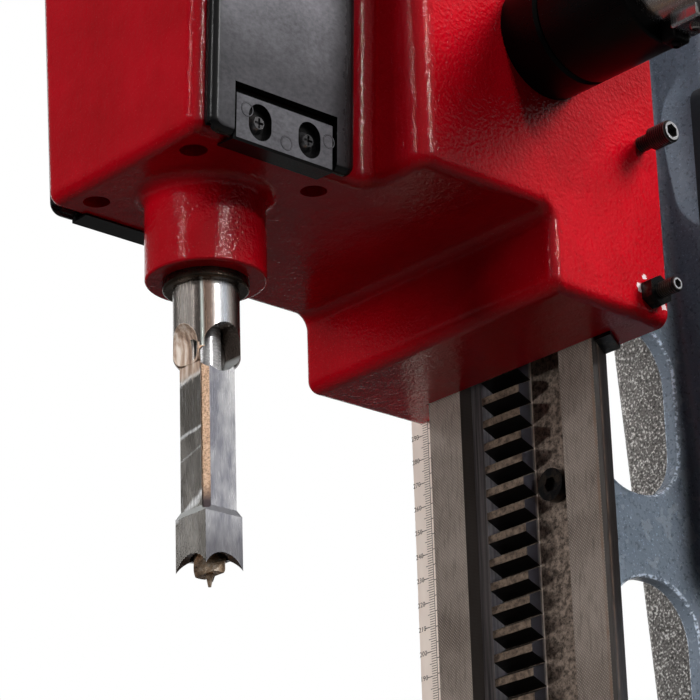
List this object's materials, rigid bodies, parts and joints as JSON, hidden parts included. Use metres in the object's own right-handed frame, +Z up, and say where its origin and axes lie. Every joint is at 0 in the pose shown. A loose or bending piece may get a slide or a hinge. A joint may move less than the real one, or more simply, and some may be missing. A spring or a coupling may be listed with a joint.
{
  "type": "hollow chisel mortiser",
  "caption": "Floor standing woodworking machine that cuts square holes: a sliding head with motor, hollow chisel and auger on a rack column, pull lever and cross table.",
  "frame": {"origin": "centre of the base plate's underside, on the floor", "axes": "+Z up along the column, +X to the operator's right, +Y to the rear"},
  "size_m": [0.643, 0.681, 1.65],
  "materials": {
    "red_paint": "gloss casting paint",
    "grey_paint": "blue grey hammered paint",
    "machined_iron": "machined cast iron",
    "steel": "ground steel",
    "black_steel": "black oxide",
    "black_plastic": "moulded black",
    "gloss_black": "gloss black",
    "wheel_metal": "turned rim and hub",
    "scale_face": "beige scale",
    "wood": "oiled beech",
    "green_button": "gloss",
    "red_button": "gloss"
  },
  "bodies": {
    "frame": {"base_plate": "grey_paint", "levelling_screws": "black_steel", "column": "grey_paint", "column_bolts": "black_steel", "rack": "steel", "rack_screws": "black_steel", "scale_bar": "scale_face", "scale_brackets": "steel", "scale_screws": "steel", "table_bracket": "grey_paint", "bracket_bolts": "black_steel", "control_box": "black_plastic", "box_lid": "black_plastic", "inlet_gland": "black_plastic"},
    "depth_stop": {"depth_stop": "black_steel", "depth_stop_knob": "gloss_black"},
    "head": {"head_casting": "red_paint", "gib": "black_steel", "gib_screws": "black_steel", "gib_nuts": "black_steel", "lock_screw": "black_steel", "under_screws": "black_steel", "shaft_end_cap": "steel", "spring_collar": "gloss_black", "hinge_plate_right": "black_plastic", "hinge_plate_left": "black_plastic", "hinge_pins": "steel", "hinge_screws": "black_steel", "chisel_bush": "black_steel", "bush_screw": "black_steel", "chisel": "steel", "motor_flange": "red_paint", "motor_body": "grey_paint", "terminal_box": "black_plastic", "motor_cowl": "black_plastic", "motor_bolts": "black_steel"},
    "spindle": {"auger_bit": "steel", "chuck": "steel", "motor_shaft": "steel"},
    "lever": {"pinion": "steel", "pinion_shaft": "steel", "lever_sleeve": "gloss_black", "lever_hub": "steel", "lever_bolt": "black_steel", "lever_arm": "steel", "lever_grip": "gloss_black"},
    "cover_right": {"cover_right": "black_plastic"},
    "cover_left": {"cover_left": "black_plastic"},
    "start_button": {"start_button": "green_button"},
    "stop_button": {"stop_button": "red_button"},
    "saddle": {"saddle": "machined_iron"},
    "table": {"table": "machined_iron", "fence": "machined_iron", "fence_facing": "wood", "fence_bolts": "black_steel", "clamp_post": "grey_paint"},
    "clamp_pad": {"clamp_pad": "wood"},
    "clamp_screw": {"clamp_screw": "wheel_metal"},
    "cross_screw": {"cross_screw": "wheel_metal"},
    "long_screw": {"long_screw": "wheel_metal"}
  },
  "joints": [
    {"name": "head_slide", "type": "slide", "parent": "frame", "child": "head", "axis": [0, 0, 1], "range_m": [-0.15, 0], "stiffness_N_per_m": 900, "springref_m": 1},
    {"name": "lever_turn", "type": "hinge", "parent": "head", "child": "lever", "pos_m": [0, 0.0253, 1.2918], "axis": [1, 0, 0], "range_deg": [-1, 160]},
    {"name": "spindle_spin", "type": "hinge", "parent": "head", "child": "spindle", "pos_m": [0, -0.0801, 1.225], "axis": [0, 0, 1], "continuous": true},
    {"name": "cover_right_hinge", "type": "hinge", "parent": "head", "child": "cover_right", "pos_m": [0.04415, -0.0801, 1.22691], "axis": [0, 1, 0], "range_deg": [0, 90]},
    {"name": "cover_left_hinge", "type": "hinge", "parent": "head", "child": "cover_left", "pos_m": [-0.04415, -0.0801, 1.22691], "axis": [0, -1, 0], "range_deg": [0, 90]},
    {"name": "depth_stop_slide", "type": "slide", "parent": "frame", "child": "depth_stop", "axis": [0, 0, -1], "range_m": [0, 0.06]},
    {"name": "start_press", "type": "slide", "parent": "frame", "child": "start_button", "axis": [0, 1, 0], "range_m": [0, 0.003], "stiffness_N_per_m": 400, "springref_m": -0.004},
    {"name": "stop_press", "type": "slide", "parent": "frame", "child": "stop_button", "axis": [0, 1, 0], "range_m": [0, 0.003], "stiffness_N_per_m": 400, "springref_m": -0.004},
    {"name": "cross_slide", "type": "slide", "parent": "frame", "child": "saddle", "axis": [0, 1, 0], "range_m": [-0.04, 0.02]},
    {"name": "long_slide", "type": "slide", "parent": "saddle", "child": "table", "axis": [1, 0, 0], "range_m": [-0.11, 0.11]},
    {"name": "clamp_slide", "type": "slide", "parent": "table", "child": "clamp_pad", "axis": [0, 1, 0], "range_m": [0, 0.07]},
    {"name": "clamp_turn", "type": "hinge", "parent": "clamp_pad", "child": "clamp_screw", "pos_m": [0, -0.1241, 0.892], "axis": [0, 1, 0], "range_deg": [-10, 5050]},
    {"name": "cross_turn", "type": "hinge", "parent": "frame", "child": "cross_screw", "pos_m": [0, -0.085, 0.72], "axis": [0, 1, 0], "range_deg": [-2890, 1450]},
    {"name": "long_turn", "type": "hinge", "parent": "table", "child": "long_screw", "pos_m": [0, -0.085, 0.8015], "axis": [1, 0, 0], "range_deg": [-7930, 7930]}
  ],
  "couplings": [
    {"joint": "lever_turn", "follows": "head_slide", "rad_per_m": -18.519},
    {"joint": "clamp_turn", "follows": "clamp_slide", "rad_per_m": 1256.6},
    {"joint": "cross_turn", "follows": "cross_slide", "rad_per_m": 1256.6},
    {"joint": "long_turn", "follows": "long_slide", "rad_per_m": 1256.6}
  ]
}
